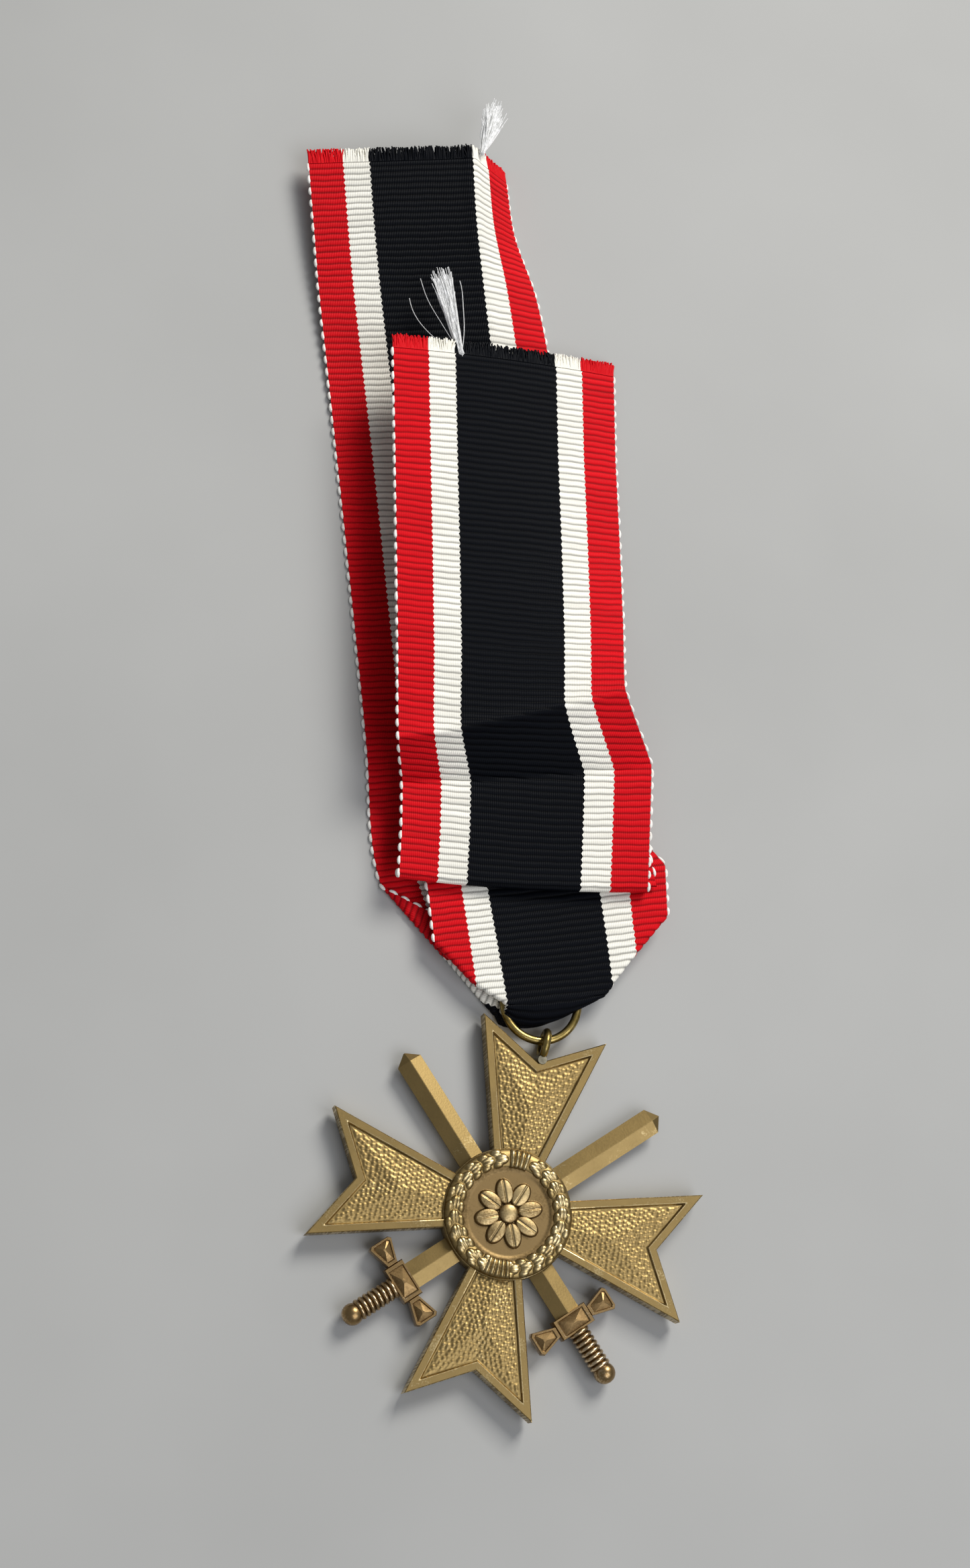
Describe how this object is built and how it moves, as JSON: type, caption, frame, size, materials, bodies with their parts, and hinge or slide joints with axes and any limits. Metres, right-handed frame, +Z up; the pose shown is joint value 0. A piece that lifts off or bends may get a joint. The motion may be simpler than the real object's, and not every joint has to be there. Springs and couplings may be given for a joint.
{
  "type": "military service medal",
  "caption": "Bronze service cross with crossed swords and a wreathed plain rosette, hung by an eyelet and wire ring from a folded ribbed ribbon with picot edges.",
  "frame": {"origin": "middle of the base of the whole object's bounding box, on the surface it lies on", "axes": "+Y from the cross towards the ribbon's free ends, +X to the right seen from the front, +Z up from the surface, out of the cross's face"},
  "size_m": [0.0524, 0.1828, 0.0101],
  "materials": {
    "struck_bronze": "struck and toned bronze, worn brighter on the edges, dark in the recesses",
    "brass_wire": "drawn wire, olive toned",
    "solder": "dull soft solder",
    "ribbed_ribbon": "woven ribbed ribbon, red, white and black stripes, white picot edges",
    "silk_thread": "loose silky warp threads"
  },
  "bodies": {
    "ribbon_back": {"ribbon_back_length": "ribbed_ribbon", "ribbon_loop": "ribbed_ribbon", "frayed_end_back": "ribbed_ribbon", "warp_tuft_back": "silk_thread"},
    "ribbon_front": {"ribbon_front_length": "ribbed_ribbon", "ribbon_pleat": "ribbed_ribbon"},
    "ribbon_flap": {"ribbon_front_flap": "ribbed_ribbon", "frayed_end_front": "ribbed_ribbon", "warp_tuft_front": "silk_thread"},
    "ring": {"suspension_ring": "brass_wire"},
    "cross": {"cross_plate": "struck_bronze", "centre_disc": "struck_bronze", "centre_rosette": "struck_bronze", "oak_wreath_front": "struck_bronze", "back_disc": "struck_bronze", "oak_wreath_back": "struck_bronze", "sword_point_right": "struck_bronze", "sword_point_left": "struck_bronze", "eyelet": "brass_wire", "eyelet_solder": "solder"}
  },
  "joints": [
    {"name": "loop_open", "type": "hinge", "parent": "ribbon_back", "child": "ribbon_front", "pos_m": [0.00562, -0.04024, 0.00185], "axis": [1, 0, 0], "range_deg": [0, 40]},
    {"name": "flap_lift", "type": "hinge", "parent": "ribbon_front", "child": "ribbon_flap", "pos_m": [0.00101, -0.02363, 0.00445], "axis": [1, 0, 0], "range_deg": [0, 60]},
    {"name": "ring_turn", "type": "hinge", "parent": "ribbon_back", "child": "ring", "pos_m": [0.00562, -0.03934, 0.002], "axis": [0, 0, 1], "range_deg": [-8, 15]},
    {"name": "cross_swing", "type": "hinge", "parent": "ring", "child": "cross", "pos_m": [0.00597, -0.04469, 0.0022], "axis": [-0.9785, 0.2064, 0], "range_deg": [0, 80]}
  ]
}
